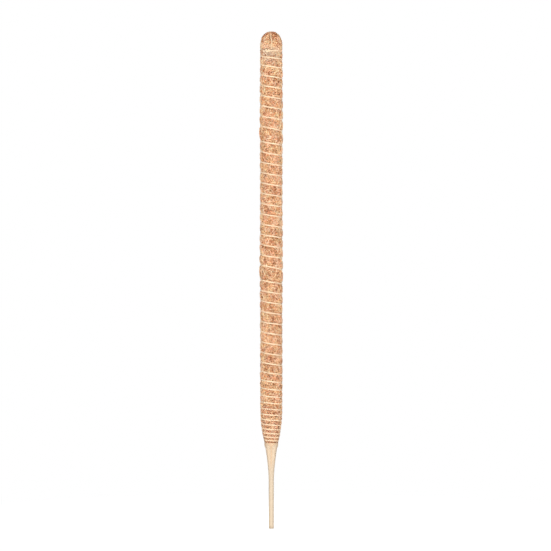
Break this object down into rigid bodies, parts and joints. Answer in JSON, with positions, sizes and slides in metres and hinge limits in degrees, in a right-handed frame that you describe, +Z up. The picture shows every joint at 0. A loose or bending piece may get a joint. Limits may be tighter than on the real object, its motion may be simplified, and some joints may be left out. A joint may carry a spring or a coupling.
{
  "type": "moss pole",
  "caption": "Straight moss pole for climbing plants: a coir-wrapped wire core bound with wound cord, with a domed crown and a slim sleeved stake that pushes into soil.",
  "frame": {"origin": "middle of the stake's cut end, on the pole's axis", "axes": "+Z up along the pole from the stake to the crown; -Y is the front, where the winding starts and the top knot lies; +X is to the right seen from the front"},
  "size_m": [0.0256, 0.031, 0.6008],
  "materials": {
    "wire": "drawn wire, cut end",
    "jacket": "matt extruded",
    "film": "smooth satin film, shrunk on",
    "packing": "loose coir",
    "coir": "felted coir, hairy",
    "cord": "twisted three-strand twine"
  },
  "bodies": {
    "root": {"core_wire": "wire", "core_jacket": "jacket", "stake_sleeve": "film", "coir_packing": "packing", "coir_wrap_lower": "coir", "coir_wrap_middle": "coir", "coir_wrap_upper": "coir", "crown_pad": "coir", "crown_strand": "cord", "binding_cord": "cord", "top_knot": "cord", "foot_knot": "cord"}
  },
  "joints": []
}
